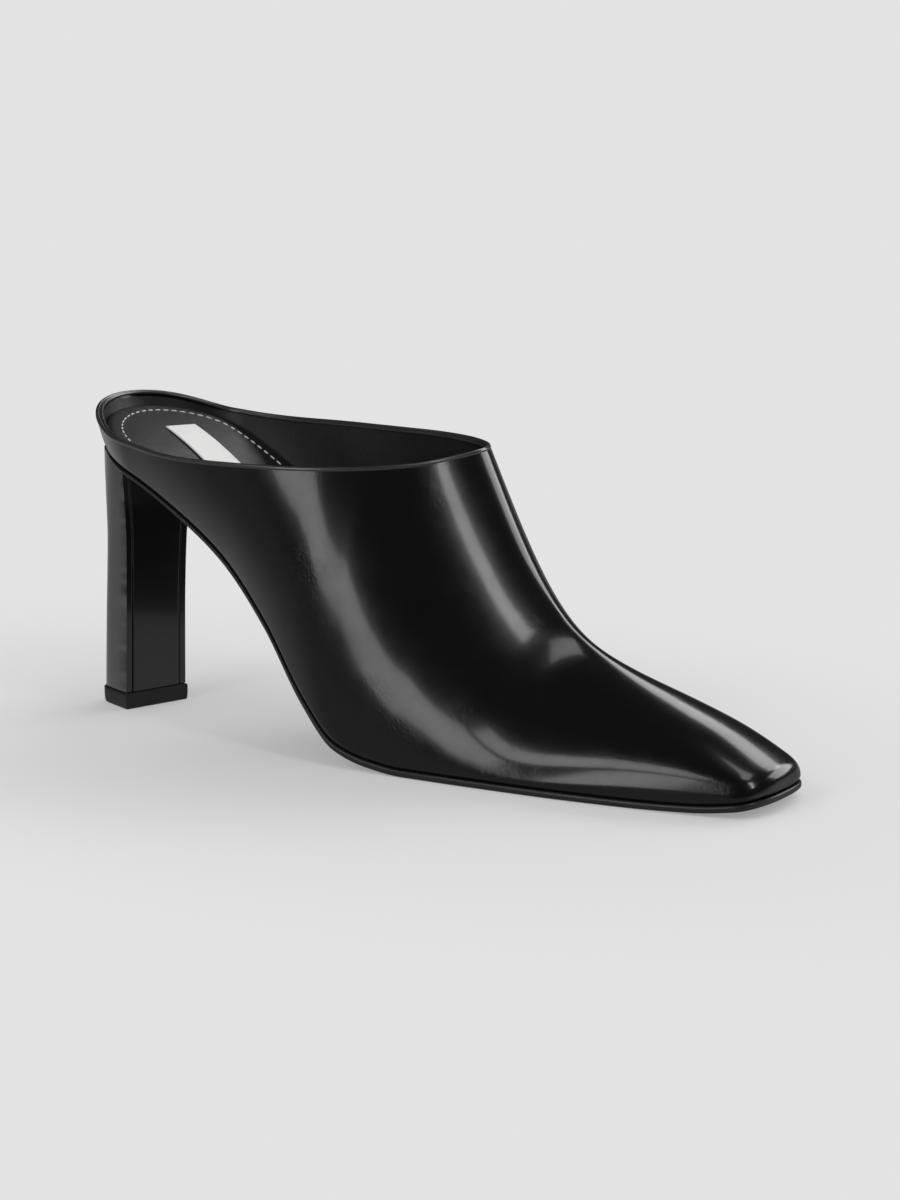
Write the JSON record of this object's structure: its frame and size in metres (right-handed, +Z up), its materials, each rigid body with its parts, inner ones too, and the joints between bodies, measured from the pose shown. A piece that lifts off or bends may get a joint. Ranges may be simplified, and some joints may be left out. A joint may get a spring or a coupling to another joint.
{
  "type": "mule shoe",
  "caption": "High-heeled slip-on mule with a closed square-toed vamp, a low rim round the heel seat and a slim block heel.",
  "frame": {"origin": "on the floor, under the middle of the shoe's box", "axes": "+X from the heel to the toe, +Y to the wearer's left (the inner side of this right shoe), +Z up"},
  "size_m": [0.2434, 0.0738, 0.098],
  "materials": {
    "upper_leather": "polished, glossy black with a fine grain",
    "insole_leather": "soft matte black sock and lining, with a blank white label",
    "sole_leather": "satin black edge and tread",
    "heel_leather": "polished, glossy black cover",
    "lift_rubber": "matte black"
  },
  "bodies": {
    "root": {"upper": "upper_leather", "insole": "insole_leather", "outsole": "sole_leather", "heel": "heel_leather", "heel_lift": "lift_rubber"}
  },
  "joints": []
}
